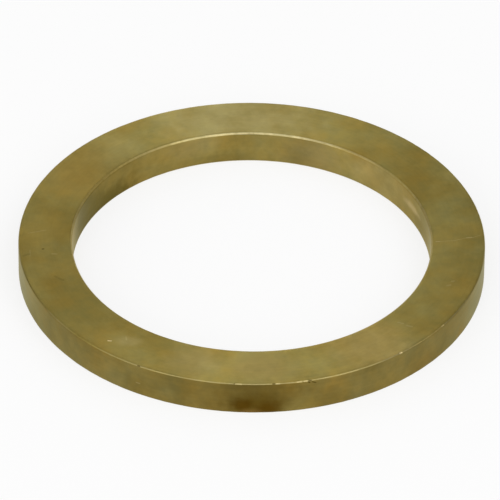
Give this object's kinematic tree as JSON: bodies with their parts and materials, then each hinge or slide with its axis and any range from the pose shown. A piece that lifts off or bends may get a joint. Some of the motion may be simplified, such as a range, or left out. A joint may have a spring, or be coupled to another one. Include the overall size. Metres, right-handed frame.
{
  "type": "bearing washer",
  "caption": "Flat round washer with a large plain bore, turned from brass, that slides over a shaft and takes end load on its flat faces.",
  "frame": {"origin": "middle of the bore, at the lower face that the washer lies on", "axes": "+Z along the bore, from the lower face to the upper face; the ring is round about Z, so X and Y are any two directions across it"},
  "size_m": [0.065, 0.065, 0.005],
  "materials": {
    "turned_brass": "turned and dulled, satin, with fine concentric tool marks and brighter broken edges"
  },
  "bodies": {
    "root": {"washer": "turned_brass"}
  },
  "joints": []
}
